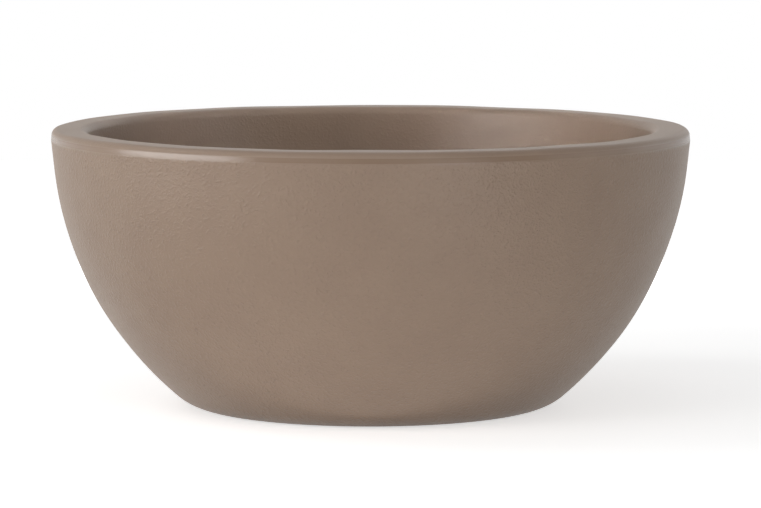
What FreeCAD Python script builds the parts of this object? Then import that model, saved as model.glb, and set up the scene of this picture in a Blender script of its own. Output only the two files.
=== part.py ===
"""Low round planter bowl: a hollow double-wall moulding with its drain plugs, their seals and a vent plug.

Millimetres, +Z up. The origin is on the floor, at the centre of the foot ring.
"""
import FreeCAD, Part
import math
import os

# Overall form
OUTER_DIAMETER = 610.0      # at the parting edge, the widest circle
HEIGHT = 267.0
BASE_DIAMETER = 306.0       # outer edge of the flat foot ring
FOOT_RADIUS = 52.0          # round between the foot ring and the wall
WALL_LEAN = 6.0             # degrees from upright, at the top of the wall
CONE_LENGTH = 24.0          # straight stretch below the parting edge

# Rim
RIM_BAND = 11.0             # from the parting edge up to the rim's top face
FLANK_LEAN = 5.0            # degrees from upright, above the parting edge
CORNER_RADIUS = 6.5         # outer corner of the rim
LIP_RADIUS = 8.5            # inner corner of the rim

# Double wall
SKIN = 5.0                  # thickness of the moulded skin
DOUBLE_WALL = 35.5          # outer face to inner face
FLOOR_HEIGHT = 42.0         # planting floor above the ground
FLOOR_ROUND = 30.0          # round between the planting floor and the inner wall
LEAST_ROUND = 0.5           # smallest round inside the hollow

# Underside
FOOT_RING_WIDTH = 24.0
BASE_RECESS = 6.0
RECESS_ROUND = 2.0
CHANNEL_DEPTH = 3.0         # drain channels across the foot ring
CHANNEL_RADIUS = 14.0
CHANNEL_ANGLES = (0.0, 180.0)

# Drains
DRAIN_COUNT = 3
DRAIN_CIRCLE_RADIUS = 80.0
FIRST_DRAIN_ANGLE = 90.0
BORE_RADIUS = 13.0
DISH_DEPTH = 4.0            # shallow dish that leads water to the bore
DISH_TOP_RADIUS = 32.0
DISH_BOTTOM_RADIUS = 24.0

# Drain plugs and seals
PLUG_CLEARANCE = 0.25       # radial, between the plug's shank and the bore
PLUG_HEAD_RADIUS = 22.0
PLUG_HEAD_THICKNESS = 4.0
PLUG_HEAD_ROUND = 1.2
PLUG_END_GAP = 4.0          # shank end above the base's underside
PLUG_TIP_CHAMFER = 2.0
PLUG_CORE_RADIUS = 8.0      # the shank is cored out from below
PLUG_CROWN = 5.0            # plastic left between the core and the head's underside
GRIP_LENGTH = 30.0
GRIP_THICKNESS = 6.0
GRIP_HEIGHT = 14.0
GRIP_ROUND = 1.5
ROUND_LIMIT = 0.9           # most of half a wall that a round may take
GROOVE_BELOW_HEAD = 12.0    # groove's middle under the head
GROOVE_WIDTH = 3.4
SEAL_SECTION_RADIUS = 1.35
SEAL_CLEARANCE = 0.04       # seal to bore, and seal to groove

# Vent
VENT_RADIUS = 6.0
VENT_CLEARANCE = 0.1
VENT_HEAD_RADIUS = 10.0
VENT_HEAD_THICKNESS = 2.5
VENT_BARB_STEP = 0.8        # barb's reach past the hole's edge
VENT_BARB_LENGTH = 6.0
VENT_BARB_TIP_RADIUS = 4.5

AXIS = FreeCAD.Vector(0, 0, 1)
ORIGIN = FreeCAD.Vector(0, 0, 0)


def point(r, z):
    """A point of the half section, which lies in the XZ plane."""
    return FreeCAD.Vector(r, 0, z)


def unit(degrees):
    """Unit vector of the half section at an angle from +X."""
    return point(math.cos(math.radians(degrees)), math.sin(math.radians(degrees)))


def mitre(normal_a, normal_b):
    """Shift of a corner for each unit that its two sides move along their normals."""
    return (normal_a + normal_b) * (1.0 / (1.0 + normal_a.dot(normal_b)))


def arc(centre, radius, start, end):
    """Arc of the half section between two angles in degrees."""
    middle = (start + end) / 2.0
    ends = [centre + unit(angle) * radius for angle in (start, middle, end)]
    return Part.Arc(*ends).toShape()


def chain(pieces):
    """Closed wire from arcs and corner points in order, with straight runs between them."""
    edges = []
    first = last = None
    for piece in pieces:
        is_arc = isinstance(piece, Part.Edge)
        start = piece.valueAt(piece.FirstParameter) if is_arc else piece
        if last is not None and last.distanceToPoint(start) > 1e-6:
            edges.append(Part.LineSegment(last, start).toShape())
        if is_arc:
            edges.append(piece)
        first = start if first is None else first
        last = piece.valueAt(piece.LastParameter) if is_arc else piece
    edges.append(Part.LineSegment(last, first).toShape())
    return Part.Wire(edges)


def turn(wire):
    """Solid of revolution of a closed half section about the planter's axis."""
    return Part.Face(wire).revolve(ORIGIN, AXIS, 360)


class BowlSection:
    """Half section of the double wall, at any inset from its outside faces."""

    def __init__(self):
        self.outer_radius = OUTER_DIAMETER / 2.0
        self.cone_normal = unit(-WALL_LEAN)
        self.flank_normal = unit(FLANK_LEAN)
        self.inner_normal = unit(180.0 - WALL_LEAN)
        self.top_normal = unit(90.0)
        self.parting_edge = point(self.outer_radius, HEIGHT - RIM_BAND)
        self.cone_end = self.parting_edge - unit(90.0 - WALL_LEAN) * CONE_LENGTH
        self.foot_centre = point(BASE_DIAMETER / 2.0, FOOT_RADIUS)
        self.wall_radius = self.tangent_wall_radius()
        self.wall_centre = self.cone_end - self.cone_normal * self.wall_radius
        self.inner_radius = self.wall_radius - DOUBLE_WALL
        self.foot_angle = self.tangent_angle(self.wall_radius, FOOT_RADIUS, 0.0)
        self.floor_angle = self.tangent_angle(self.inner_radius, FLOOR_ROUND, FLOOR_HEIGHT)
        floor_reach = (self.inner_radius - FLOOR_ROUND) * math.cos(math.radians(self.floor_angle))
        self.floor_centre = point(self.wall_centre.x + floor_reach, FLOOR_HEIGHT + FLOOR_ROUND)
        self.ring_inner_radius = BASE_DIAMETER / 2.0 - FOOT_RING_WIDTH
        self.rim_corner = point(self.outer_radius - RIM_BAND * math.tan(math.radians(FLANK_LEAN)), HEIGHT)
        inner_cone_end = self.cone_end - self.cone_normal * DOUBLE_WALL
        rise = HEIGHT - inner_cone_end.z
        self.rim_lip = point(inner_cone_end.x + rise * math.tan(math.radians(WALL_LEAN)), HEIGHT)

    def tangent_wall_radius(self):
        """Radius of the wall's arc that leaves the cone smoothly and runs smoothly into the foot's round."""
        gap = self.cone_end - self.foot_centre
        return (gap.dot(gap) - FOOT_RADIUS ** 2) / (2.0 * (gap.dot(self.cone_normal) - FOOT_RADIUS))

    def tangent_angle(self, wall_radius, round_radius, floor_z):
        """Angle below level where a wall arc meets the round that ends on a floor."""
        drop = self.wall_centre.z - floor_z - round_radius
        return math.degrees(math.asin(drop / (wall_radius - round_radius)))

    def rim_round(self, corner, normal, radius, inset):
        """Centre and radius of a round between the rim's top and one of its sides."""
        left = max(radius - inset, LEAST_ROUND)
        return corner - mitre(self.top_normal, normal) * (inset + left), left

    def wire(self, inset, recess_round):
        """Closed half section whose faces lie the inset inside the moulding's faces."""
        ring = self.ring_inner_radius + inset
        recess = BASE_RECESS + inset
        lip_centre, lip_round = self.rim_round(self.rim_lip, self.inner_normal, LIP_RADIUS, inset)
        corner_centre, corner_round = self.rim_round(self.rim_corner, self.flank_normal, CORNER_RADIUS, inset)
        crease = self.parting_edge - mitre(self.flank_normal, self.cone_normal) * inset
        pieces = [
            point(0, FLOOR_HEIGHT - inset),
            arc(self.floor_centre, FLOOR_ROUND + inset, -90.0, -self.floor_angle),
            arc(self.wall_centre, self.inner_radius + inset, -self.floor_angle, -WALL_LEAN),
            arc(lip_centre, lip_round, 180.0 - WALL_LEAN, 90.0),
            arc(corner_centre, corner_round, 90.0, FLANK_LEAN),
            crease,
            arc(self.wall_centre, self.wall_radius - inset, -WALL_LEAN, -self.foot_angle),
            arc(self.foot_centre, FOOT_RADIUS - inset, -self.foot_angle, -90.0),
        ]
        if recess_round > 0:
            pieces += [
                arc(point(ring + recess_round, inset + recess_round), recess_round, 270.0, 180.0),
                arc(point(ring - recess_round, recess - recess_round), recess_round, 0.0, 90.0),
            ]
        else:
            pieces += [point(ring, inset), point(ring, recess)]
        pieces.append(point(0, recess))
        return chain(pieces)


def drain_places():
    """Centres of the drains on the planting floor's level."""
    step = 360.0 / DRAIN_COUNT
    angles = [math.radians(FIRST_DRAIN_ANGLE + step * i) for i in range(DRAIN_COUNT)]
    return [
        FreeCAD.Vector(DRAIN_CIRCLE_RADIUS * math.cos(a), DRAIN_CIRCLE_RADIUS * math.sin(a), FLOOR_HEIGHT)
        for a in angles
    ]


def cylinder(radius, bottom, top, place=ORIGIN):
    """Upright cylinder between two heights at a place on the floor plan."""
    return Part.makeCylinder(radius, top - bottom, FreeCAD.Vector(place.x, place.y, bottom), AXIS)


def channel(radius, angle, start, end):
    """Round bar lying below the ground, whose top makes one drain channel."""
    direction = FreeCAD.Vector(math.cos(math.radians(angle)), math.sin(math.radians(angle)), 0)
    axis_z = CHANNEL_DEPTH - CHANNEL_RADIUS
    return Part.makeCylinder(radius, end - start, direction * start + AXIS * axis_z, direction)


def make_planter_body(section):
    """Hollow double-wall bowl with drain tubes, dishes, foot channels and a vent hole."""
    form = turn(section.wire(0.0, RECESS_ROUND))
    hollow = turn(section.wire(SKIN, 0.0))
    dish_floor = FLOOR_HEIGHT - DISH_DEPTH
    reach = section.foot_centre.x + FOOT_RADIUS
    cores = []
    cuts = [cylinder(VENT_RADIUS, 0.0, BASE_RECESS + SKIN + 1.0)]
    for place in drain_places():
        cores.append(cylinder(BORE_RADIUS + SKIN, 0.0, FLOOR_HEIGHT, place))
        cores.append(cylinder(DISH_TOP_RADIUS + SKIN, dish_floor - SKIN, FLOOR_HEIGHT, place))
        cuts.append(cylinder(BORE_RADIUS, 0.0, FLOOR_HEIGHT, place))
        dish_base = FreeCAD.Vector(place.x, place.y, dish_floor)
        cuts.append(Part.makeCone(DISH_BOTTOM_RADIUS, DISH_TOP_RADIUS, DISH_DEPTH, dish_base, AXIS))
    for angle in CHANNEL_ANGLES:
        inner_end = section.ring_inner_radius - RECESS_ROUND
        cores.append(channel(CHANNEL_RADIUS + SKIN, angle, inner_end, reach))
        cuts.append(channel(CHANNEL_RADIUS, angle, inner_end, reach))
    return form.cut(hollow.cut(cores)).cut(cuts).removeSplitter()


def make_grip(bottom, top):
    """Upright pinch grip with round ends and a rounded top, centred on the axis and running along X."""
    half = GRIP_THICKNESS / 2.0
    run = GRIP_LENGTH / 2.0 - half
    near_left = FreeCAD.Vector(-run, -half, bottom)
    near_right = FreeCAD.Vector(run, -half, bottom)
    far_right = FreeCAD.Vector(run, half, bottom)
    far_left = FreeCAD.Vector(-run, half, bottom)
    outline = Part.Wire([
        Part.LineSegment(near_left, near_right).toShape(),
        Part.Arc(near_right, FreeCAD.Vector(run + half, 0, bottom), far_right).toShape(),
        Part.LineSegment(far_right, far_left).toShape(),
        Part.Arc(far_left, FreeCAD.Vector(-run - half, 0, bottom), near_left).toShape(),
    ])
    grip = Part.Face(outline).extrude(AXIS * (top - bottom))
    upper_edges = [edge for edge in grip.Edges if edge.BoundBox.ZMin > (bottom + top) / 2.0]
    return grip.makeFillet(min(GRIP_ROUND, half * ROUND_LIMIT), upper_edges)


def make_drain_plug(place):
    """Push-in stopper: head in the dish, pinch grip on top, grooved and cored shank in the bore."""
    seat = FLOOR_HEIGHT - DISH_DEPTH
    head_top = seat + PLUG_HEAD_THICKNESS
    shank_radius = BORE_RADIUS - PLUG_CLEARANCE
    shank_end = BASE_RECESS + PLUG_END_GAP
    groove_radius = BORE_RADIUS - 2.0 * (SEAL_SECTION_RADIUS + SEAL_CLEARANCE)
    groove_middle = seat - GROOVE_BELOW_HEAD
    groove_low = groove_middle - GROOVE_WIDTH / 2.0
    groove_high = groove_middle + GROOVE_WIDTH / 2.0
    core_top = seat - PLUG_CROWN
    head_round_centre = point(PLUG_HEAD_RADIUS - PLUG_HEAD_ROUND, head_top - PLUG_HEAD_ROUND)
    plug = turn(chain([
        point(0, core_top),
        point(PLUG_CORE_RADIUS, core_top),
        point(PLUG_CORE_RADIUS, shank_end),
        point(shank_radius - PLUG_TIP_CHAMFER, shank_end),
        point(shank_radius, shank_end + PLUG_TIP_CHAMFER),
        point(shank_radius, groove_low),
        point(groove_radius, groove_low),
        point(groove_radius, groove_high),
        point(shank_radius, groove_high),
        point(shank_radius, seat),
        point(PLUG_HEAD_RADIUS, seat),
        arc(head_round_centre, PLUG_HEAD_ROUND, 0.0, 90.0),
        point(0, head_top),
    ]))
    grip = make_grip(head_top - PLUG_HEAD_ROUND, head_top + GRIP_HEIGHT)
    whole = plug.fuse(grip).removeSplitter()
    turned = math.degrees(math.atan2(place.y, place.x)) + 90.0
    whole.rotate(ORIGIN, AXIS, turned)
    whole.translate(FreeCAD.Vector(place.x, place.y, 0))
    return whole


def make_plug_seal(place):
    """Rubber ring in a plug's groove."""
    middle = FLOOR_HEIGHT - DISH_DEPTH - GROOVE_BELOW_HEAD
    ring_radius = BORE_RADIUS - SEAL_CLEARANCE - SEAL_SECTION_RADIUS
    return Part.makeTorus(ring_radius, SEAL_SECTION_RADIUS, FreeCAD.Vector(place.x, place.y, middle), AXIS)


def make_vent_plug():
    """Snap-in cap of the vent hole: flat head under the base, shank, and a barb inside the hollow."""
    shank_radius = VENT_RADIUS - VENT_CLEARANCE
    barb_radius = VENT_RADIUS + VENT_BARB_STEP
    barb_base = BASE_RECESS + SKIN + VENT_CLEARANCE
    return turn(chain([
        point(0, BASE_RECESS - VENT_HEAD_THICKNESS),
        point(VENT_HEAD_RADIUS, BASE_RECESS - VENT_HEAD_THICKNESS),
        point(VENT_HEAD_RADIUS, BASE_RECESS),
        point(shank_radius, BASE_RECESS),
        point(shank_radius, barb_base),
        point(barb_radius, barb_base),
        point(VENT_BARB_TIP_RADIUS, barb_base + VENT_BARB_LENGTH),
        point(0, barb_base + VENT_BARB_LENGTH),
    ]))


def main():
    """Builds every piece, writes one STEP file each and prints what was made."""
    os.makedirs("parts", exist_ok=True)
    section = BowlSection()
    pieces = {"planter_body": make_planter_body(section), "vent_plug": make_vent_plug()}
    for number, place in enumerate(drain_places(), start=1):
        pieces[f"drain_plug_{number}"] = make_drain_plug(place)
        pieces[f"plug_seal_{number}"] = make_plug_seal(place)
    print(f"wall radius {section.wall_radius:.2f}, planting floor radius {section.floor_centre.x:.2f}")
    for name, shape in pieces.items():
        shape.exportStep(f"parts/{name}.step")
        box = shape.optimalBoundingBox()
        print(f"{name}: {len(shape.Solids)} solid, valid {shape.isValid()}, {shape.Volume / 1000:.2f} cm3,"
              f" {box.XLength:.1f} x {box.YLength:.1f} x {box.ZLength:.1f} mm")


main()
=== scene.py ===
"""Studio scene of a low bowl planter: a hollow moulded bowl, its drain plugs with seals, and its vent plug.

Metres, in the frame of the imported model: +Z up, the origin on the floor at the centre of the foot ring, and
-Y towards the camera. Every piece is a numpy surface that stands for one CAD node and rides on its body.
"""

import logging
import math
from dataclasses import dataclass, field
from enum import Enum
from typing import Any

import bmesh
import bpy
import numpy as np
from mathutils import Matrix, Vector
from numpy.typing import ArrayLike

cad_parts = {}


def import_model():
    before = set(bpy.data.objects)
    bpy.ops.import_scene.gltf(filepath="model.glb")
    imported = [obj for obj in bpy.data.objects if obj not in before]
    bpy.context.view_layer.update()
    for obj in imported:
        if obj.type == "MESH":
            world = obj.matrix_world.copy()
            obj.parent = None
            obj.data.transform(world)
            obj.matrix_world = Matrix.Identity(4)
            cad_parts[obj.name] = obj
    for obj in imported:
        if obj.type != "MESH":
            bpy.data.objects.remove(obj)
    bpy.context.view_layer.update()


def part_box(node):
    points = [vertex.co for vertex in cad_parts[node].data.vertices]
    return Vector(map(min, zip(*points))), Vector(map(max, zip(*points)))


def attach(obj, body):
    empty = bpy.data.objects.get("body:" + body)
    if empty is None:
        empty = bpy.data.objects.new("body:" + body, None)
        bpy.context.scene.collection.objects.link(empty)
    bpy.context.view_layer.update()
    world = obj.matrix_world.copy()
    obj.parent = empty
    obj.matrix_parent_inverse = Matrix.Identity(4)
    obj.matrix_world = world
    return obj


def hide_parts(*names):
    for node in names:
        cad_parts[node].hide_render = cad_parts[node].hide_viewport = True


LOG = logging.getLogger("planter")
Array = np.ndarray
Tree = bpy.types.NodeTree
Socket = bpy.types.NodeSocket
Number = float | Socket

BOWL_NODE = "planter_body"
IMAGE_WIDTH_PX = 761
WELD_DISTANCE = 1e-6        # points nearer than this are one vertex
SHARP_ANGLE = 38.0          # degrees: edges that turn more than this stay crisp
ROUND_STEPS = 4             # steps of the small round on a turned corner
FULL_TURN = 2.0 * math.pi
MM = 0.001
WHITE = "#ffffff"


class Facing(Enum):
    """Which way a flat patch looks."""

    UP = 1
    DOWN = -1


@dataclass
class Patch:
    """One grid surface: points of shape (n, 3) and quads of shape (m, 4)."""

    points: Array
    quads: Array


# Half sections and grids


def unit(degrees: float) -> Array:
    """Unit vector (cos a, sin a) at an angle a in degrees from the first axis."""
    turn = math.radians(degrees)
    return np.array([math.cos(turn), math.sin(turn)])


def directions(angles: Array) -> Array:
    """Unit vectors (cos a, sin a), one row for each angle a in radians."""
    return np.column_stack([np.cos(angles), np.sin(angles)])


def all_round(columns: int) -> Array:
    """Even angles all the way round, in radians."""
    return np.linspace(0.0, FULL_TURN, columns, endpoint=False)


def mitre(normal_a: Array, normal_b: Array) -> Array:
    """Shift of a corner for each unit that its two sides move along their normals."""
    return (normal_a + normal_b) / (1.0 + normal_a @ normal_b)


def arc(centre: ArrayLike, radius: float, start: float, end: float, steps: int) -> Array:
    """Points centre + radius (cos a, sin a) at even angles a in degrees from start to end."""
    angles = np.radians(np.linspace(start, end, steps + 1))
    return np.asarray(centre) + radius * directions(angles)


def straight(start: ArrayLike, end: ArrayLike, steps: int) -> Array:
    """Points start (1 - t) + end t, with t in even steps from 0 to 1."""
    share = np.linspace(0.0, 1.0, steps + 1)[:, None]
    return np.asarray(start) * (1.0 - share) + np.asarray(end) * share


def join(*runs: Array) -> Array:
    """One profile from runs in order, with the points where two runs meet kept once.

    Args:
        runs: points (r, z) of each run.

    Returns:
        Points (r, z) of the profile.
    """
    line = np.vstack(runs)
    apart = np.linalg.norm(np.diff(line, axis=0), axis=1) > WELD_DISTANCE
    return line[np.concatenate([[True], apart])]


def rounded(corners: list[tuple[float, float, float]]) -> Array:
    """Profile through corners, with each round an arc tangent to the corner's two sides.

    The arc's centre lies on the line that halves the corner, round / sin(half the corner's angle) away, and
    the arc begins and ends round / tan(half the angle) from the corner.

    Args:
        corners: (r, z, round) of each corner; the first and the last one stay sharp.

    Returns:
        Points (r, z) of the profile.
    """
    points = np.array(corners)[:, :2]
    runs = [points[:1]]
    for before, corner, after, (_, _, radius) in zip(points, points[1:], points[2:], corners[1:-1]):
        back = (before - corner) / np.linalg.norm(before - corner)
        ahead = (after - corner) / np.linalg.norm(after - corner)
        half = math.acos(float(np.clip(back @ ahead, -1.0, 1.0))) / 2.0
        middle = (back + ahead) / np.linalg.norm(back + ahead)
        centre = corner + middle * radius / math.sin(half)
        start = corner + back * radius / math.tan(half) - centre
        end = corner + ahead * radius / math.tan(half) - centre
        first = math.degrees(math.atan2(start[1], start[0]))
        swing = math.degrees(math.atan2(start[0] * end[1] - start[1] * end[0], start @ end))
        runs.append(arc(centre, radius, first, first + swing, ROUND_STEPS))
    return join(*runs, points[-1:])


def lathe(profile: Array, angles: Array) -> Array:
    """Turned surface: (r cos a, r sin a, z) for each profile point (r, z) and angle a.

    Args:
        profile: points (r, z), one for each row of the grid.
        angles: radians, one for each column, or one for each row and column.

    Returns:
        Grid of points, of shape (rows, columns, 3).
    """
    radius = profile[:, :1]
    height = np.broadcast_to(profile[:, 1:], (len(profile), angles.shape[-1]))
    return np.stack([radius * np.cos(angles), radius * np.sin(angles), height], axis=-1)


def grid_patch(points: Array, closed: bool = True, flip: bool = False) -> Patch:
    """Quads over a grid of points.

    Args:
        points: grid of shape (rows, columns, 3).
        closed: whether the last column joins the first.
        flip: whether the faces look the other way.

    Returns:
        The patch, whose faces look along (row direction) x (column direction) unless flipped.
    """
    rows, columns = points.shape[:2]
    index = np.arange(rows * columns).reshape(rows, columns)
    after = np.roll(index, -1, axis=1)
    if not closed:
        index, after = index[:, :-1], after[:, :-1]
    quads = np.stack([index[:-1], index[1:], after[1:], after[:-1]], axis=-1).reshape(-1, 4)
    return Patch(points.reshape(-1, 3), quads[:, ::-1] if flip else quads)


def make_piece(name: str, patches: list[Patch]) -> bpy.types.Object:
    """Welds patches into one smooth mesh object at the origin.

    Args:
        name: the piece's name.
        patches: grid surfaces of the piece.

    Returns:
        The new object, linked to the scene.
    """
    starts = np.cumsum([0] + [len(patch.points) for patch in patches[:-1]])
    points = np.vstack([patch.points for patch in patches])
    quads = np.vstack([patch.quads + start for patch, start in zip(patches, starts)])
    mesh = bpy.data.meshes.new(name)
    mesh.from_pydata(points.tolist(), [], quads.tolist())
    shell = bmesh.new()
    shell.from_mesh(mesh)
    bmesh.ops.remove_doubles(shell, verts=shell.verts, dist=WELD_DISTANCE)
    bmesh.ops.recalc_face_normals(shell, faces=shell.faces)
    shell.to_mesh(mesh)
    shell.free()
    mesh.polygons.foreach_set("use_smooth", np.ones(len(mesh.polygons), dtype=bool))
    mesh.set_sharp_from_angle(angle=math.radians(SHARP_ANGLE))
    piece = bpy.data.objects.new(name, mesh)
    bpy.context.scene.collection.objects.link(piece)
    return piece


def fit_piece(piece: bpy.types.Object, node: str, body: str, skin: bpy.types.Material) -> None:
    """Gives a piece its material, and lets it stand for a CAD node and ride on that node's body.

    Args:
        piece: the finished mesh object.
        node: the CAD node that it replaces.
        body: the moving body that it rides on.
        skin: the piece's material.
    """
    piece.data.materials.append(skin)
    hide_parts(node)
    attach(piece, body)
    LOG.info("%s: %d faces, rides on %s", piece.name, len(piece.data.polygons), body)


# Finishes


def linear(colour: str) -> tuple[float, float, float, float]:
    """Linear RGBA of an sRGB colour: a straight line near black, and a power of 2.4 above it.

    Args:
        colour: hex value such as #a0b0c0.

    Returns:
        Red, green, blue and a full alpha.
    """
    levels = np.array([int(colour[i:i + 2], 16) for i in (1, 3, 5)]) / 255.0
    light = np.where(levels <= 0.04045, levels / 12.92, ((levels + 0.055) / 1.055) ** 2.4)
    return (*(float(level) for level in light), 1.0)


def add_node(tree: Tree, kind: str, inputs: dict[Any, Any], **settings: Any) -> bpy.types.Node:
    """Adds a shader node.

    Args:
        tree: the material's or world's node tree.
        kind: the node's type name.
        inputs: input names or numbers, each with a value to set or an output socket to link.
        settings: properties of the node.

    Returns:
        The new node.
    """
    node = tree.nodes.new(kind)
    for name, value in settings.items():
        setattr(node, name, value)
    for name, value in inputs.items():
        if isinstance(value, Socket):
            tree.links.new(value, node.inputs[name])
        else:
            node.inputs[name].default_value = value
    return node


def new_material(name: str) -> tuple[bpy.types.Material, Tree, bpy.types.Node]:
    """Adds an empty node material.

    Args:
        name: the material's name.

    Returns:
        The material, its node tree and its output node.
    """
    material = bpy.data.materials.new(name)
    material.use_nodes = True
    material.node_tree.nodes.clear()
    output = material.node_tree.nodes.new("ShaderNodeOutputMaterial")
    return material, material.node_tree, output


@dataclass(frozen=True)
class MouldedFinish:
    """Skin of a moulded material: two tones in slow mottles, gloss that follows them, and a grained relief.

    The relief mixes a coarse and a fine grain, both sized in millimetres of the real surface. Where the
    coarse grain stays under pebble_floor it is flat, so that a higher floor leaves fewer pebbles. A noise's
    detail is how many finer copies it adds, and its falloff is each copy's share of the one before.
    """

    name: str
    colour: str
    mottle_colour: str
    mottle_mm: float
    roughness: float
    roughness_spread: float
    grain_mm: float
    fine_grain_mm: float
    fine_share: float
    relief_mm: float
    pebble_floor: float = 0.0
    grain_detail: float = 1.0
    grain_falloff: float = 0.4
    fine_falloff: float = 0.5
    mottle_detail: float = 4.0
    mottle_falloff: float = 0.6

    def gloss(self, tree: Tree, place: Socket, mottle: Socket) -> Socket:
        """Roughness that follows the mottles.

        Args:
            tree: the material's node tree.
            place: Object coordinates, for a finish whose gloss differs by place.
            mottle: strength of the mottles.

        Returns:
            Socket with the roughness.
        """
        return add_node(tree, "ShaderNodeMapRange", {
            "Value": mottle, "To Min": self.roughness - self.roughness_spread,
            "To Max": self.roughness + self.roughness_spread}).outputs["Result"]

    def relief_strength(self, tree: Tree, place: Socket) -> Number:
        """Share of the relief at a place on the surface."""
        return 1.0

    def material(self) -> bpy.types.Material:
        """Builds the node material.

        Returns:
            The material, whose patterns read Object coordinates.
        """
        material, tree, output = new_material(self.name)
        place = add_node(tree, "ShaderNodeTexCoord", {}).outputs["Object"]
        coarse = add_node(tree, "ShaderNodeTexNoise", {
            "Vector": place, "Scale": 1.0 / (self.grain_mm * MM),
            "Detail": self.grain_detail, "Roughness": self.grain_falloff})
        fine = add_node(tree, "ShaderNodeTexNoise", {
            "Vector": place, "Scale": 1.0 / (self.fine_grain_mm * MM),
            "Detail": self.grain_detail, "Roughness": self.fine_falloff})
        mottle = add_node(tree, "ShaderNodeTexNoise", {
            "Vector": place, "Scale": 1.0 / (self.mottle_mm * MM),
            "Detail": self.mottle_detail, "Roughness": self.mottle_falloff})
        pebbles = add_node(tree, "ShaderNodeMapRange", {
            "Value": coarse.outputs["Fac"], "From Min": self.pebble_floor}, interpolation_type="SMOOTHSTEP")
        relief = add_node(tree, "ShaderNodeMix", {
            "Factor": self.fine_share, "A": pebbles.outputs["Result"], "B": fine.outputs["Fac"]})
        bump = add_node(tree, "ShaderNodeBump", {
            "Strength": self.relief_strength(tree, place), "Distance": self.relief_mm * MM,
            "Height": relief.outputs["Result"]})
        tint = add_node(tree, "ShaderNodeMix", {
            "Factor": mottle.outputs["Fac"], "A": linear(self.colour), "B": linear(self.mottle_colour)},
            data_type="RGBA")
        shader = add_node(tree, "ShaderNodeBsdfPrincipled", {
            "Base Color": tint.outputs["Result"], "Normal": bump.outputs["Normal"],
            "Roughness": self.gloss(tree, place, mottle.outputs["Fac"])})
        tree.links.new(shader.outputs["BSDF"], output.inputs["Surface"])
        return material


@dataclass(frozen=True)
class RimmedFinish(MouldedFinish):
    """Moulded skin with a smooth band round the rim's flank, glossier than the wall.

    The bowl is close to half a ball about the middle of its rim, so a point's depth, its distance from
    there, tells the inside from the outside.
    """

    rim_mm: float = 267.0               # height of the rim, and of the point that depths are measured from
    band_mm: float = 254.8              # height where the smooth band begins
    band_blend_mm: float = 2.6
    band_roughness: float = 0.26
    band_relief: float = 0.1            # share of the wall's relief
    top_mm: float = 261.5               # height where the band turns into the rim's top
    top_blend_mm: float = 3.5
    top_roughness: float = 0.47
    top_relief: float = 0.3
    lip_mm: float = 272.0               # depth where the rim's top turns down into the bowl
    lip_blend_mm: float = 6.0
    core_mm: float = 286.0              # depth between the inner and the outer wall
    core_blend_mm: float = 14.0
    inside_relief: float = 0.35

    def by_place(self, tree: Tree, place: Socket, wall: Number, band: Number, top: Number,
                 inside: Number) -> Socket:
        """One number for the wall, the smooth band, the rim's top and the inside, with soft changes.

        Args:
            tree: the material's node tree.
            place: Object coordinates.
            wall: number on the outer wall.
            band: number on the rim's flank.
            top: number on the rim's top.
            inside: number on the inner wall and the planting floor.

        Returns:
            Socket with the number at each place.
        """
        height = add_node(tree, "ShaderNodeSeparateXYZ", {"Vector": place}).outputs["Z"]
        depth = add_node(tree, "ShaderNodeVectorMath", {
            0: place, 1: (0.0, 0.0, self.rim_mm * MM)}, operation="DISTANCE").outputs["Value"]
        rim = self.change(tree, height, self.top_mm, self.top_blend_mm, band, top)
        above = self.change(tree, depth, self.lip_mm, self.lip_blend_mm, inside, rim)
        below = self.change(tree, depth, self.core_mm, self.core_blend_mm, inside, wall)
        return self.change(tree, height, self.band_mm, self.band_blend_mm, below, above)

    @staticmethod
    def change(tree: Tree, value: Socket, start_mm: float, length_mm: float, before: Number,
               after: Number) -> Socket:
        """A number that goes from one value to another as a length passes a stretch.

        Args:
            tree: the material's node tree.
            value: the length, in metres.
            start_mm: where the stretch begins.
            length_mm: how long the stretch is.
            before: number ahead of the stretch.
            after: number past the stretch.

        Returns:
            Socket with the number.
        """
        return add_node(tree, "ShaderNodeMapRange", {
            "Value": value, "From Min": start_mm * MM, "From Max": (start_mm + length_mm) * MM,
            "To Min": before, "To Max": after}).outputs["Result"]

    def gloss(self, tree: Tree, place: Socket, mottle: Socket) -> Socket:
        """Roughness of the moulded skin on the wall, and even ones on the smooth band and the rim's top."""
        skin = super().gloss(tree, place, mottle)
        return self.by_place(tree, place, skin, self.band_roughness, self.top_roughness, skin)

    def relief_strength(self, tree: Tree, place: Socket) -> Socket:
        """Full relief on the outer wall, and less on the rim and inside."""
        return self.by_place(tree, place, 1.0, self.band_relief, self.top_relief, self.inside_relief)


# Powder melted in a blasted mould: a pebbled satin skin that breaks soft highlights into small glints, and
# a smoother band round the rim with a longer, clearer highlight. The pebbles are a little coarse, to show.
ROTOMOULDED = RimmedFinish(
    "rotomoulded_polyethylene_taupe", "#947e6b", "#8b7564", mottle_mm=45.0, roughness=0.44,
    roughness_spread=0.03, grain_mm=2.9, fine_grain_mm=1.45, fine_share=0.3, relief_mm=0.95,
    pebble_floor=0.38)
# Injected into an etched mould: an even dark brown with a fine frosted sheen.
INJECTED = MouldedFinish(
    "injection_moulded_polyethylene_brown", "#564f49", "#4c4540", mottle_mm=14.0, roughness=0.5,
    roughness_spread=0.06, grain_mm=0.9, fine_grain_mm=0.4, fine_share=0.5, relief_mm=0.02)
# Cured rubber: dull and nearly black, with a greyish bloom in patches.
RUBBER = MouldedFinish(
    "moulded_epdm_rubber", "#262625", "#34332f", mottle_mm=5.0, roughness=0.75,
    roughness_spread=0.1, grain_mm=0.5, fine_grain_mm=0.2, fine_share=0.5, relief_mm=0.008)


# The bowl


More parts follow.
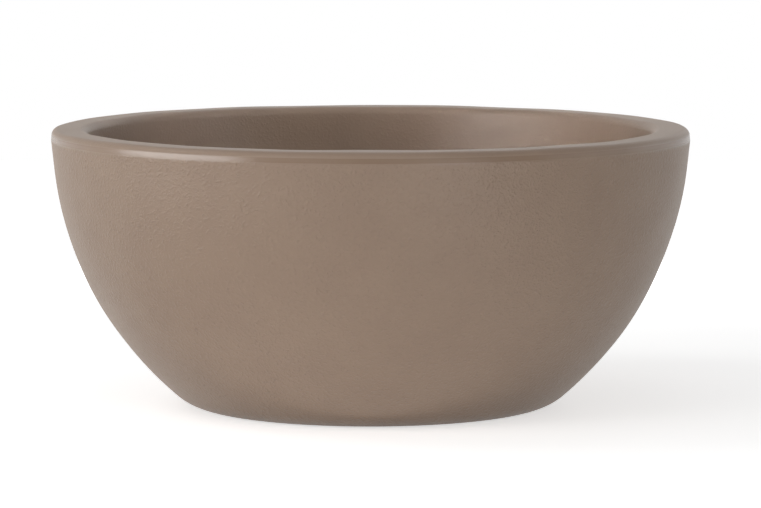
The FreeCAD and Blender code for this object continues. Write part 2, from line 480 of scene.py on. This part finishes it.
@dataclass
class BowlSection:
    """Half section of the bowl's skin, from the planting floor over the rim to the recess under the base.

    The outer wall is a short cone below the parting edge, one arc tangent to it, and the foot's round,
    tangent to that arc and to the ground. The inner wall is parallel to it. Leans are degrees from upright.
    """

    outer_radius: float
    height: float
    base_radius: float = 0.153
    foot_round: float = 0.052
    wall_lean: float = 6.0
    cone_length: float = 0.024
    rim_band: float = 0.011
    flank_lean: float = 5.0
    corner_round: float = 0.0065
    lip_round: float = 0.0085
    parting_round: float = 0.003
    double_wall: float = 0.0355
    floor_height: float = 0.042
    floor_round: float = 0.030
    ring_width: float = 0.024
    recess: float = 0.006
    recess_round: float = 0.002
    floor_round_steps: int = 12
    inner_wall_steps: int = 30
    cone_steps: int = 4
    lip_steps: int = 14
    corner_steps: int = 12
    parting_steps: int = 4
    outer_wall_steps: int = 32
    foot_steps: int = 16
    ring_steps: int = 5
    recess_steps: int = 4

    def __post_init__(self) -> None:
        """Works out the arcs' centres and the angles where they meet."""
        self.cone_normal = unit(-self.wall_lean)
        self.flank_normal = unit(self.flank_lean)
        self.inner_normal = unit(180.0 - self.wall_lean)
        self.parting_edge = np.array([self.outer_radius, self.height - self.rim_band])
        self.cone_end = self.parting_edge - unit(90.0 - self.wall_lean) * self.cone_length
        self.foot_centre = np.array([self.base_radius, self.foot_round])
        gap = self.cone_end - self.foot_centre
        reach = 2.0 * (gap @ self.cone_normal - self.foot_round)
        self.wall_radius = (gap @ gap - self.foot_round ** 2) / reach
        self.wall_centre = self.cone_end - self.cone_normal * self.wall_radius
        self.inner_radius = self.wall_radius - self.double_wall
        self.foot_angle = self.tangent_angle(self.wall_radius, self.foot_round, 0.0)
        self.floor_angle = self.tangent_angle(self.inner_radius, self.floor_round, self.floor_height)
        span = (self.inner_radius - self.floor_round) * math.cos(math.radians(self.floor_angle))
        self.floor_centre = np.array([self.wall_centre[0] + span, self.floor_height + self.floor_round])
        self.ring_radius = self.base_radius - self.ring_width

    def tangent_angle(self, wall_radius: float, round_radius: float, floor_z: float) -> float:
        """Degrees below level where a wall arc meets the round that ends on a floor."""
        drop = self.wall_centre[1] - floor_z - round_radius
        return math.degrees(math.asin(drop / (wall_radius - round_radius)))

    @property
    def floor_edge(self) -> float:
        """Radius of the flat planting floor."""
        return float(self.floor_centre[0])

    @property
    def recess_edge(self) -> float:
        """Radius of the flat recess under the base."""
        return self.ring_radius - self.recess_round

    def inner_run(self) -> Array:
        """Floor's round, inner wall and lip.

        Returns:
            Points (r, z) from the planting floor to the rim's top.
        """
        lean = math.tan(math.radians(self.wall_lean))
        foot_of_cone = self.cone_end - self.cone_normal * self.double_wall
        lip = np.array([foot_of_cone[0] + (self.height - foot_of_cone[1]) * lean, self.height])
        lip_centre = lip - mitre(unit(90.0), self.inner_normal) * self.lip_round
        lip_start = lip_centre + self.inner_normal * self.lip_round
        return join(
            arc(self.floor_centre, self.floor_round, -90.0, -self.floor_angle, self.floor_round_steps),
            arc(self.wall_centre, self.inner_radius, -self.floor_angle, -self.wall_lean,
                self.inner_wall_steps),
            straight(foot_of_cone, lip_start, self.cone_steps),
            arc(lip_centre, self.lip_round, 180.0 - self.wall_lean, 90.0, self.lip_steps),
        )

    def outer_run(self) -> Array:
        """Rim's corner, flank, parting edge, cone and wall.

        Returns:
            Points (r, z) from the rim's top down to the foot's round.
        """
        flank_length = self.rim_band / math.cos(math.radians(self.flank_lean))
        top_edge = self.parting_edge + unit(90.0 + self.flank_lean) * flank_length
        corner_centre = top_edge - mitre(unit(90.0), self.flank_normal) * self.corner_round
        parting_centre = self.parting_edge - mitre(self.flank_normal, self.cone_normal) * self.parting_round
        cone_start = self.parting_edge - unit(90.0 - self.wall_lean) * self.parting_round
        return join(
            arc(corner_centre, self.corner_round, 90.0, self.flank_lean, self.corner_steps),
            arc(parting_centre, self.parting_round, self.flank_lean, -self.wall_lean, self.parting_steps),
            straight(cone_start, self.cone_end, self.cone_steps),
            arc(self.wall_centre, self.wall_radius, -self.wall_lean, -self.foot_angle,
                self.outer_wall_steps),
        )

    def foot_run(self) -> Array:
        """Foot's round, the flat ring and the step up into the recess.

        Returns:
            Points (r, z) from the wall to the recess's flat.
        """
        small = self.recess_round
        ring_corner = np.array([self.ring_radius + small, small])
        recess_corner = np.array([self.ring_radius - small, self.recess - small])
        return join(
            arc(self.foot_centre, self.foot_round, -self.foot_angle, -90.0, self.foot_steps),
            straight([self.base_radius, 0.0], [self.ring_radius + small, 0.0], self.ring_steps),
            arc(ring_corner, small, 270.0, 180.0, self.recess_steps),
            arc(recess_corner, small, 0.0, 90.0, self.recess_steps),
        )


@dataclass(frozen=True)
class Waviness:
    """Slow unevenness of a moulded wall: a sum of waves round the bowl and along its section.

    A wave (n, k, p) has n crests round the bowl, k radians to each metre along the section, and phase p.
    """

    height: float = 0.00012
    waves: tuple[tuple[int, float, float], ...] = (
        (3, 19.0, 0.4), (5, -27.0, 1.9), (8, 33.0, 4.1), (11, -41.0, 2.7), (17, 58.0, 5.3))

    def offset(self, angles: Array, run: Array) -> Array:
        """Sum of height x cos(n a + k s + p) over the waves, with a round the bowl and s along its section.

        Args:
            angles: a of each column, in radians.
            run: s of each row, in metres.

        Returns:
            Offsets of shape (rows, columns).
        """
        rounds, along, phase = (np.array(column)[:, None, None] for column in zip(*self.waves))
        turns = rounds * angles[None, None, :] + along * run[None, :, None] + phase
        return self.height * np.cos(turns).sum(axis=0)


@dataclass(frozen=True)
class Drains:
    """Sizes and places of the drain tubes."""

    count: int = 3
    circle_radius: float = 0.080
    first_angle: float = 90.0
    bore_radius: float = 0.013
    dish_depth: float = 0.004
    dish_top_radius: float = 0.032
    dish_bottom_radius: float = 0.024
    edge_round: float = 0.0012
    dish_edge_steps: int = 4
    dish_floor_steps: int = 3
    bore_edge_steps: int = 5

    def angle(self, index: int) -> float:
        """Direction of a drain from the axis, in degrees."""
        return self.first_angle + 360.0 / self.count * index

    def place(self, index: int) -> Array:
        """Centre (x, y) of a drain."""
        return self.circle_radius * unit(self.angle(index))


@dataclass
class PlanterBody:
    """The hollow bowl's visible skin, with drain dishes, tubes, foot channels and the vent plug's pocket."""

    section: BowlSection
    drains: Drains
    waviness: Waviness = field(default_factory=Waviness)
    channel_depth: float = 0.003
    channel_radius: float = 0.014
    channel_reach: float = 6.0          # degrees each side of a channel with a finer mesh
    hub_radius: float = 0.006           # vent hole, and the small disc above it on the planting floor
    vent_pocket: float = 0.014
    pocket_radius: float = 0.009
    skin: float = 0.005
    stretch_columns: tuple[int, ...] = (44, 22, 104, 22, 44, 74, 74)   # in each stretch round the bowl
    fade_rows: float = 10.0             # rows over which the waves fade out
    flat_rows: int = 7                  # rows from a drain to its sector's border
    side_points: int = 20
    hub_points: int = 17                # points of each sector's arc round the hub
    hub_steps: int = 2
    name: str = "moulded_bowl"

    def angles(self) -> Array:
        """Column angles, finer across the two channels, with a column on each sector's border.

        Returns:
            Angles in radians, in order round the bowl.
        """
        reach = self.channel_reach
        border = 180.0 / self.drains.count
        first, second = self.drains.angle(0), self.drains.angle(1)
        breaks = [-reach, reach, first - border, first + border, 180.0 - reach, 180.0 + reach,
                  second + border, 360.0 - reach]
        stretches = zip(breaks[:-1], breaks[1:], self.stretch_columns)
        return np.radians(np.concatenate([np.linspace(a, b, n, endpoint=False) for a, b, n in stretches]))

    def wall(self, angles: Array) -> Patch:
        """Turned skin from the planting floor over the rim to the recess, with waves and foot channels.

        The waves push each point along the section's normal, and fade out at the floor and at the foot. A
        channel is a round bar lying across the foot, which follows the bar's top where that is higher.

        Args:
            angles: radians, one for each column.

        Returns:
            The skin's patch.
        """
        upper = join(self.section.inner_run(), self.section.outer_run())
        profile = join(upper, self.section.foot_run())
        run = np.concatenate([[0.0], np.cumsum(np.linalg.norm(np.diff(profile, axis=0), axis=1))])
        slope = np.gradient(profile, run, axis=0)
        normal = np.column_stack([-slope[:, 1], slope[:, 0]])
        rows = np.arange(len(profile))
        rows_left = len(upper) - 1 - rows
        fade = np.clip(np.minimum(rows, rows_left) / self.fade_rows, 0.0, 1.0)
        push = self.waviness.offset(angles, run) * fade[:, None]
        radius = profile[:, :1] + push * normal[:, :1]
        height = profile[:, 1:] + push * normal[:, 1:]
        x, y = radius * np.cos(angles), radius * np.sin(angles)
        bar = self.channel_radius ** 2 - y ** 2
        channel = self.channel_depth - self.channel_radius + np.sqrt(np.clip(bar, 0.0, None))
        in_foot = (rows_left <= 0)[:, None] & (bar > 0.0)
        height = np.where(in_foot, np.maximum(height, channel), height)
        return grid_patch(np.stack([x, y, height], axis=-1))

    def sector_border(self, index: int, angles: Array, outer: float) -> Array:
        """Closed border of one drain's sector: outer arc, one side, arc round the hub, other side.

        Args:
            index: the drain's number, from 0.
            angles: the skin's column angles, in radians; the outer arc has a point at each.
            outer: radius of the outer arc.

        Returns:
            Points (x, y) in order along the border.
        """
        half = math.radians(180.0 / self.drains.count)
        middle = math.radians(self.drains.angle(index))
        turned = np.sort((angles - middle + math.pi) % FULL_TURN - math.pi)
        inside = turned[np.abs(turned) <= half + WELD_DISTANCE]
        side = np.linspace(outer, self.hub_radius, self.side_points)[1:-1, None]
        towards, away = directions(np.array([middle + half, middle - half]))
        hub = middle + np.linspace(half, -half, self.hub_points)
        return np.vstack([outer * directions(middle + inside), side * towards,
                          self.hub_radius * directions(hub), side[::-1] * away])

    def drain_patches(self, index: int, angles: Array) -> list[Patch]:
        """Planting floor, dish, tube and underside of one drain's sector.

        Straight lines run from the sector's border towards the drain's centre and end on the hole's edge, so
        the two flat patches are rings between a border and a circle, and the tube joins the circles' points.

        Args:
            index: the drain's number, from 0.
            angles: the skin's column angles, in radians.

        Returns:
            The floor's, the underside's and the tube's patches.
        """
        drains, section = self.drains, self.section
        centre = drains.place(index)
        small = drains.edge_round
        dish_floor = section.floor_height - drains.dish_depth
        dish_run = drains.dish_top_radius - drains.dish_bottom_radius
        slope = math.degrees(math.atan2(drains.dish_depth, dish_run))
        top_radius = drains.dish_top_radius + small * math.tan(math.radians(slope / 2.0))
        mouth_radius = drains.bore_radius + small
        profile = join(
            arc([top_radius, section.floor_height - small], small, 90.0, 90.0 + slope,
                drains.dish_edge_steps),
            straight([drains.dish_bottom_radius, dish_floor], [mouth_radius, dish_floor],
                     drains.dish_floor_steps),
            arc([mouth_radius, dish_floor - small], small, 90.0, 180.0, drains.bore_edge_steps),
            arc([mouth_radius, section.recess + small], small, 180.0, 270.0, drains.bore_edge_steps),
        )
        flats = []
        turns = []
        for outer, level, hole, facing in (
                (section.floor_edge, section.floor_height, profile[0, 0], Facing.UP),
                (section.recess_edge, section.recess, profile[-1, 0], Facing.DOWN)):
            lines = self.sector_border(index, angles, outer) - centre
            turn = np.unwrap(np.arctan2(lines[:, 1], lines[:, 0]))
            share = np.linspace(0.0, 1.0, self.flat_rows)[:, None, None]
            flat = centre + hole * directions(turn) * (1.0 - share) + lines * share
            grid = np.concatenate([flat, np.full((*flat.shape[:2], 1), level)], axis=-1)
            flats.append(grid_patch(grid, flip=facing is Facing.DOWN))
            turns.append(turn)
        share = np.linspace(0.0, 1.0, len(profile))[:, None]
        tube = lathe(profile, turns[0] * (1.0 - share) + turns[1] * share)
        tube[..., :2] += centre
        return [*flats, grid_patch(tube, flip=True)]

    def hub_patches(self) -> list[Patch]:
        """Small disc at the middle of the planting floor, and the vent plug's pocket below it, both turned.

        Returns:
            The disc's and the pocket's patches.
        """
        columns = self.drains.count * (self.hub_points - 1)
        angles = math.radians(self.drains.angle(0)) + all_round(columns)
        floor, recess = self.section.floor_height, self.section.recess
        disc = straight([0.0, floor], [self.hub_radius, floor], self.hub_steps)
        pocket = np.array([
            [self.hub_radius, recess], [self.hub_radius, recess + self.skin],
            [self.pocket_radius, recess + self.skin], [self.pocket_radius, recess + self.vent_pocket],
            [0.0, recess + self.vent_pocket]])
        return [grid_patch(lathe(disc, angles)), grid_patch(lathe(pocket, angles))]

    def build(self) -> bpy.types.Object:
        """Makes the bowl: the turned skin, the hub and each drain's sector.

        Returns:
            The bowl's mesh object.
        """
        angles = self.angles()
        patches = [self.wall(angles), *self.hub_patches()]
        for index in range(self.drains.count):
            patches += self.drain_patches(index, angles)
        return make_piece(self.name, patches)


# Plugs


@dataclass
class DrainPlug:
    """Push-in stopper: head in the dish, pinch grip across it, grooved and cored shank in the bore."""

    drains: Drains
    index: int
    seat: float                         # height of the dish's floor
    shank_end: float
    head_radius: float = 0.022
    head_thickness: float = 0.004
    head_round: float = 0.0012
    edge_round: float = 0.0004
    clearance: float = 0.00025
    tip_chamfer: float = 0.002
    core_radius: float = 0.008
    crown: float = 0.005
    grip_length: float = 0.030
    grip_thickness: float = 0.006
    grip_height: float = 0.014
    grip_round: float = 0.0015
    grip_flare: float = 0.002
    grip_sink: float = 0.0008           # how far the grip's foot goes into the head
    grip_foot_round: float = 0.0001
    groove_drop: float = 0.012
    groove_width: float = 0.0034
    groove_radius: float = 0.01022
    columns: int = 96
    grip_end_points: int = 17

    @property
    def name(self) -> str:
        """The piece's name."""
        return f"stopper_{self.index + 1}"

    def stopper(self) -> Patch:
        """Turned head and shank.

        Returns:
            Patch of a profile that runs from the head's middle round the shank to the core's top.
        """
        shank = self.drains.bore_radius - self.clearance
        top = self.seat + self.head_thickness
        groove = self.seat - self.groove_drop
        small = self.edge_round
        profile = rounded([
            (0.0, top, 0.0),
            (self.head_radius, top, self.head_round),
            (self.head_radius, self.seat, small),
            (shank, self.seat, small),
            (shank, groove + self.groove_width / 2.0, small),
            (self.groove_radius, groove + self.groove_width / 2.0, small),
            (self.groove_radius, groove - self.groove_width / 2.0, small),
            (shank, groove - self.groove_width / 2.0, small),
            (shank, self.shank_end + self.tip_chamfer, small),
            (shank - self.tip_chamfer, self.shank_end, small),
            (self.core_radius, self.shank_end, small),
            (self.core_radius, self.seat - self.crown, small),
            (0.0, self.seat - self.crown, 0.0),
        ])
        return grid_patch(lathe(profile, all_round(self.columns)))

    def grip(self) -> Patch:
        """Upright wall with round ends: an offset profile carried round a straight spine along X.

        A point is the nearer end of the spine plus offset x (cos a, sin a), with a all the way round.

        Returns:
            The grip's patch, closed at its top and foot.
        """
        half = self.grip_thickness / 2.0
        top = self.seat + self.head_thickness
        profile = rounded([
            (0.0, top + self.grip_height, 0.0),
            (half, top + self.grip_height, self.grip_round),
            (half, top + self.edge_round, self.grip_flare),
            (half + self.grip_flare, top - self.grip_sink, self.grip_foot_round),
            (0.0, top - self.grip_sink, 0.0),
        ])
        ends = np.linspace(-0.5, 0.5, self.grip_end_points) * math.pi
        angles = np.concatenate([ends, ends + math.pi])
        points = lathe(profile, angles)
        points[..., 0] += (self.grip_length / 2.0 - half) * np.repeat([1.0, -1.0], len(ends))
        return grid_patch(points)

    def build(self) -> bpy.types.Object:
        """Makes the plug, with its grip at right angles to the line from the planter's axis.

        Returns:
            The plug's mesh object.
        """
        turn = math.radians(self.drains.angle(self.index) + 90.0)
        spin = np.array([[math.cos(turn), -math.sin(turn)], [math.sin(turn), math.cos(turn)]])
        patches = [self.stopper(), self.grip()]
        for patch in patches:
            patch.points[:, :2] = patch.points[:, :2] @ spin.T + self.drains.place(self.index)
        return make_piece(self.name, patches)


@dataclass
class PlugSeal:
    """Rubber ring in a plug's groove."""

    drains: Drains
    index: int
    middle: float                       # height of the groove's middle
    section_radius: float = 0.00135
    clearance: float = 0.00004
    section_steps: int = 20
    columns: int = 96

    @property
    def name(self) -> str:
        """The piece's name."""
        return f"seal_ring_{self.index + 1}"

    def build(self) -> bpy.types.Object:
        """Makes the ring: a circle carried round the plug's axis.

        Returns:
            The ring's mesh object.
        """
        centre = [self.drains.bore_radius - self.clearance - self.section_radius, self.middle]
        profile = arc(centre, self.section_radius, 360.0, 0.0, self.section_steps)
        points = lathe(profile, all_round(self.columns))
        points[..., :2] += self.drains.place(self.index)
        return make_piece(self.name, [grid_patch(points)])


@dataclass
class VentPlug:
    """Snap-in cap of the vent hole: flat head under the base, shank, and a barb above the skin."""

    recess: float
    skin: float
    hole_radius: float
    clearance: float = 0.0001
    head_radius: float = 0.010
    head_thickness: float = 0.0025
    head_round: float = 0.0008
    edge_round: float = 0.0002
    barb_step: float = 0.0008
    barb_length: float = 0.006
    barb_tip_radius: float = 0.0045
    columns: int = 64
    name: str = "vent_cap"

    def build(self) -> bpy.types.Object:
        """Makes the cap: a profile turned from the barb's tip down to the middle of the head.

        Returns:
            The cap's mesh object.
        """
        shank = self.hole_radius - self.clearance
        barb = self.recess + self.skin + self.clearance
        bottom = self.recess - self.head_thickness
        profile = rounded([
            (0.0, barb + self.barb_length, 0.0),
            (self.barb_tip_radius, barb + self.barb_length, self.head_round),
            (self.hole_radius + self.barb_step, barb, self.edge_round),
            (shank, barb, self.edge_round),
            (shank, self.recess, self.edge_round),
            (self.head_radius, self.recess, self.edge_round),
            (self.head_radius, bottom, self.head_round),
            (0.0, bottom, 0.0),
        ])
        return make_piece(self.name, [grid_patch(lathe(profile, all_round(self.columns)))])


# Studio


@dataclass(frozen=True)
class Softbox:
    """Rectangular studio lamp, aimed at a point."""

    name: str
    place: tuple[float, float, float]
    aim: tuple[float, float, float]
    width: float
    height: float
    watts: float
    spread: float = 180.0               # degrees across the lamp's beam

    def build(self) -> None:
        """Adds the lamp to the scene, unseen by the camera."""
        light = bpy.data.lights.new(self.name, "AREA")
        light.shape = "RECTANGLE"
        light.size = self.width
        light.size_y = self.height
        light.energy = self.watts
        light.spread = math.radians(self.spread)
        lamp = bpy.data.objects.new(self.name, light)
        lamp.location = self.place
        lamp.visible_camera = False
        lamp.rotation_euler = (Vector(self.aim) - Vector(self.place)).to_track_quat("-Z", "Y").to_euler()
        bpy.context.scene.collection.objects.link(lamp)


@dataclass(frozen=True)
class DarkCard:
    """Curved dark card round the front of the set, which gives glossy edges a deeper tone to reflect."""

    radius: float = 2.8
    bottom: float = 0.02
    top: float = 0.9
    first_angle: float = -130.0         # degrees from +X
    last_angle: float = -30.0
    columns: int = 32
    colour: str = "#1c1b1a"
    name: str = "studio_dark_card"

    def build(self) -> None:
        """Adds the card: an upright line turned about the planter's axis, for glossy rays alone."""
        line = np.array([[self.radius, self.bottom], [self.radius, self.top]])
        angles = np.radians(np.linspace(self.first_angle, self.last_angle, self.columns))
        card = make_piece(self.name, [grid_patch(lathe(line, angles), closed=False)])
        # Felt soaks up light: a dark matt sheet with no highlight of its own.
        material, tree, output = new_material("black_felt")
        felt = add_node(tree, "ShaderNodeBsdfDiffuse", {"Color": linear(self.colour)})
        tree.links.new(felt.outputs["BSDF"], output.inputs["Surface"])
        card.data.materials.append(material)
        card.visible_camera = False
        card.visible_diffuse = False
        card.visible_shadow = False
        card.visible_transmission = False


@dataclass(frozen=True)
class Studio:
    """White studio: a pale floor that keeps the shadow, soft lamps, a dark card and the camera."""

    floor_name: str = "studio_floor"
    floor_size: float = 5.6
    floor_colour: str = "#f4f4f4"
    floor_lift: float = 0.6             # brightness added to the floor where it is seen, near the object
    far_lift: float = 0.85              # the same far away, where the floor meets the white world
    near_reach: float = 0.7
    far_reach: float = 2.2
    ambient: float = 0.2
    camera_distance: float = 4.5
    camera_elevation: float = 5.894     # degrees above level
    camera_aim_height: float = 0.145
    camera_side: float = 0.0096         # the object stands a little left of the picture's middle
    focal_px: float = 4693.5
    sensor_mm: float = 36.0
    lamps: tuple[Softbox, ...] = (
        Softbox("key_left", (-1.63, -0.70, 0.45), (0.0, 0.0, 0.45), 1.5, 0.28, 10.8),
        Softbox("high_left", (-1.45, -0.15, 1.75), (0.0, 0.0, 0.15), 0.7, 0.7, 5.2),
        Softbox("fill_left", (-0.90, -1.50, 1.10), (0.0, 0.0, 0.15), 0.7, 0.7, 1.7),
        Softbox("front", (-0.51, -1.91, 2.13), (0.0, 0.0, 0.15), 1.9, 1.9, 5.0),
        Softbox("fill_right", (0.60, -2.50, 1.45), (0.0, 0.0, 0.15), 1.0, 1.0, 2.4),
        Softbox("low_right", (0.65, -1.30, 0.12), (0.0, 0.0, 0.12), 0.5, 0.2, 2.75),
        Softbox("low_left", (-0.50, -1.35, 0.12), (0.0, 0.0, 0.12), 0.5, 0.2, 1.1),
        Softbox("edge_right", (1.97, 0.80, 0.72), (0.0, 0.0, 0.15), 0.8, 0.8, 1.0),
        Softbox("top", (0.0, 0.1, 2.4), (0.0, 0.1, 0.0), 1.2, 1.2, 1.9),
        Softbox("back", (1.09, 1.88, 1.16), (0.0, 0.0, 0.15), 1.0, 1.0, 1.7),
        Softbox("low_back", (0.0, 1.35, 0.13), (0.0, 0.0, 0.13), 0.5, 0.2, 3.4),
        Softbox("floor_panel", (0.04, -0.33, 0.01), (0.04, -0.33, 1.0), 0.6, 0.28, 0.126),
        Softbox("inside_right", (-1.56, -1.13, 1.22), (0.18, 0.20, 0.245), 0.25, 0.25, 0.084, spread=8.0),
        Softbox("inside_left", (1.79, -0.65, 1.25), (-0.17, 0.21, 0.24), 0.25, 0.25, 0.046, spread=8.0),
    )

    def build_floor(self) -> None:
        """Large pale floor; camera, glossy and transmission rays see it lifted towards white."""
        half = self.floor_size / 2.0
        corners = [[-half, -half, 0.0], [half, -half, 0.0], [half, half, 0.0], [-half, half, 0.0]]
        mesh = bpy.data.meshes.new(self.floor_name)
        mesh.from_pydata(corners, [], [[0, 1, 2, 3]])
        floor = bpy.data.objects.new(self.floor_name, mesh)
        bpy.context.scene.collection.objects.link(floor)
        # Matt paint: an even pale ground that takes soft shadows.
        material, tree, output = new_material("studio_floor_paint")
        paint = add_node(tree, "ShaderNodeBsdfDiffuse", {"Color": linear(self.floor_colour)})
        place = add_node(tree, "ShaderNodeTexCoord", {}).outputs["Object"]
        reach = add_node(tree, "ShaderNodeVectorMath", {0: place}, operation="LENGTH")
        brightness = add_node(tree, "ShaderNodeMapRange", {
            "Value": reach.outputs["Value"], "From Min": self.near_reach, "From Max": self.far_reach,
            "To Min": self.floor_lift, "To Max": self.far_lift})
        lift = add_node(tree, "ShaderNodeEmission", {
            "Color": linear(WHITE), "Strength": self.seen_directly(tree, brightness.outputs["Result"])})
        both = add_node(tree, "ShaderNodeAddShader", {0: paint.outputs["BSDF"], 1: lift.outputs["Emission"]})
        tree.links.new(both.outputs["Shader"], output.inputs["Surface"])
        mesh.materials.append(material)

    @staticmethod
    def seen_directly(tree: Tree, strength: Number) -> Socket:
        """Strength for camera, glossy and transmission rays, and none for the rest.

        Args:
            tree: the floor's or the world's node tree.
            strength: brightness where a ray of those kinds meets it.

        Returns:
            Socket with the strength for each ray.
        """
        path = add_node(tree, "ShaderNodeLightPath", {})
        mirror = add_node(tree, "ShaderNodeMath", {
            0: path.outputs["Is Glossy Ray"], 1: path.outputs["Is Transmission Ray"]}, operation="ADD")
        seen = add_node(tree, "ShaderNodeMath", {
            0: path.outputs["Is Camera Ray"], 1: mirror.outputs["Value"]}, operation="ADD", use_clamp=True)
        return add_node(tree, "ShaderNodeMath", {0: seen.outputs["Value"], 1: strength},
                        operation="MULTIPLY").outputs["Value"]

    def build_world(self) -> None:
        """White world: full white where it is seen directly, and an even ambient light elsewhere."""
        world = bpy.data.worlds.new("studio_world")
        world.use_nodes = True
        tree = world.node_tree
        tree.nodes.clear()
        strength = add_node(tree, "ShaderNodeMath", {
            0: self.seen_directly(tree, 1.0 - self.ambient), 1: self.ambient}, operation="ADD")
        white = add_node(tree, "ShaderNodeBackground", {
            "Color": linear(WHITE), "Strength": strength.outputs["Value"]})
        add_node(tree, "ShaderNodeOutputWorld", {"Surface": white.outputs["Background"]})
        bpy.context.scene.world = world

    def build_camera(self) -> None:
        """Long lens, a little above level, as in the photograph."""
        turn = math.radians(self.camera_elevation)
        lens = bpy.data.cameras.new("photo_camera")
        lens.sensor_fit = "HORIZONTAL"
        lens.sensor_width = self.sensor_mm
        lens.lens = self.focal_px / IMAGE_WIDTH_PX * self.sensor_mm
        camera = bpy.data.objects.new("photo_camera", lens)
        camera.location = (self.camera_side, -self.camera_distance * math.cos(turn),
                           self.camera_aim_height + self.camera_distance * math.sin(turn))
        camera.rotation_euler = (math.radians(90.0) - turn, 0.0, 0.0)
        bpy.context.scene.collection.objects.link(camera)
        bpy.context.scene.camera = camera

    def build(self) -> None:
        """Adds the floor, world, lamps, dark card and camera."""
        self.build_floor()
        self.build_world()
        for lamp in self.lamps:
            lamp.build()
        DarkCard().build()
        self.build_camera()
        bpy.context.scene.view_settings.view_transform = "Standard"


@dataclass
class Planter:
    """The whole planter: a bowl, and in it plugs with seals, and a vent plug under it."""

    section: BowlSection
    drains: Drains = field(default_factory=Drains)
    plug_end_gap: float = 0.004

    def build(self) -> None:
        """Makes every piece, gives it its finish and fits it to its CAD node."""
        bowl_skin, plug_skin, seal_skin = (finish.material() for finish in (ROTOMOULDED, INJECTED, RUBBER))
        bowl = PlanterBody(self.section, self.drains)
        fit_piece(bowl.build(), BOWL_NODE, "bowl", bowl_skin)
        vent = VentPlug(self.section.recess, bowl.skin, bowl.hub_radius)
        fit_piece(vent.build(), "vent_plug", "bowl", plug_skin)
        seat = self.section.floor_height - self.drains.dish_depth
        for index in range(self.drains.count):
            body = f"plug_{index + 1}"
            plug = DrainPlug(self.drains, index, seat, self.section.recess + self.plug_end_gap)
            fit_piece(plug.build(), f"drain_plug_{index + 1}", body, plug_skin)
            seal = PlugSeal(self.drains, index, seat - plug.groove_drop)
            fit_piece(seal.build(), f"plug_seal_{index + 1}", body, seal_skin)


def main() -> None:
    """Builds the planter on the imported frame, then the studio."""
    logging.basicConfig(level=logging.INFO, format="%(message)s")
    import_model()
    low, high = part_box(BOWL_NODE)
    Planter(BowlSection(outer_radius=(high.x - low.x) / 2.0, height=high.z)).build()
    Studio().build()


if __name__ == "__main__":
    main()
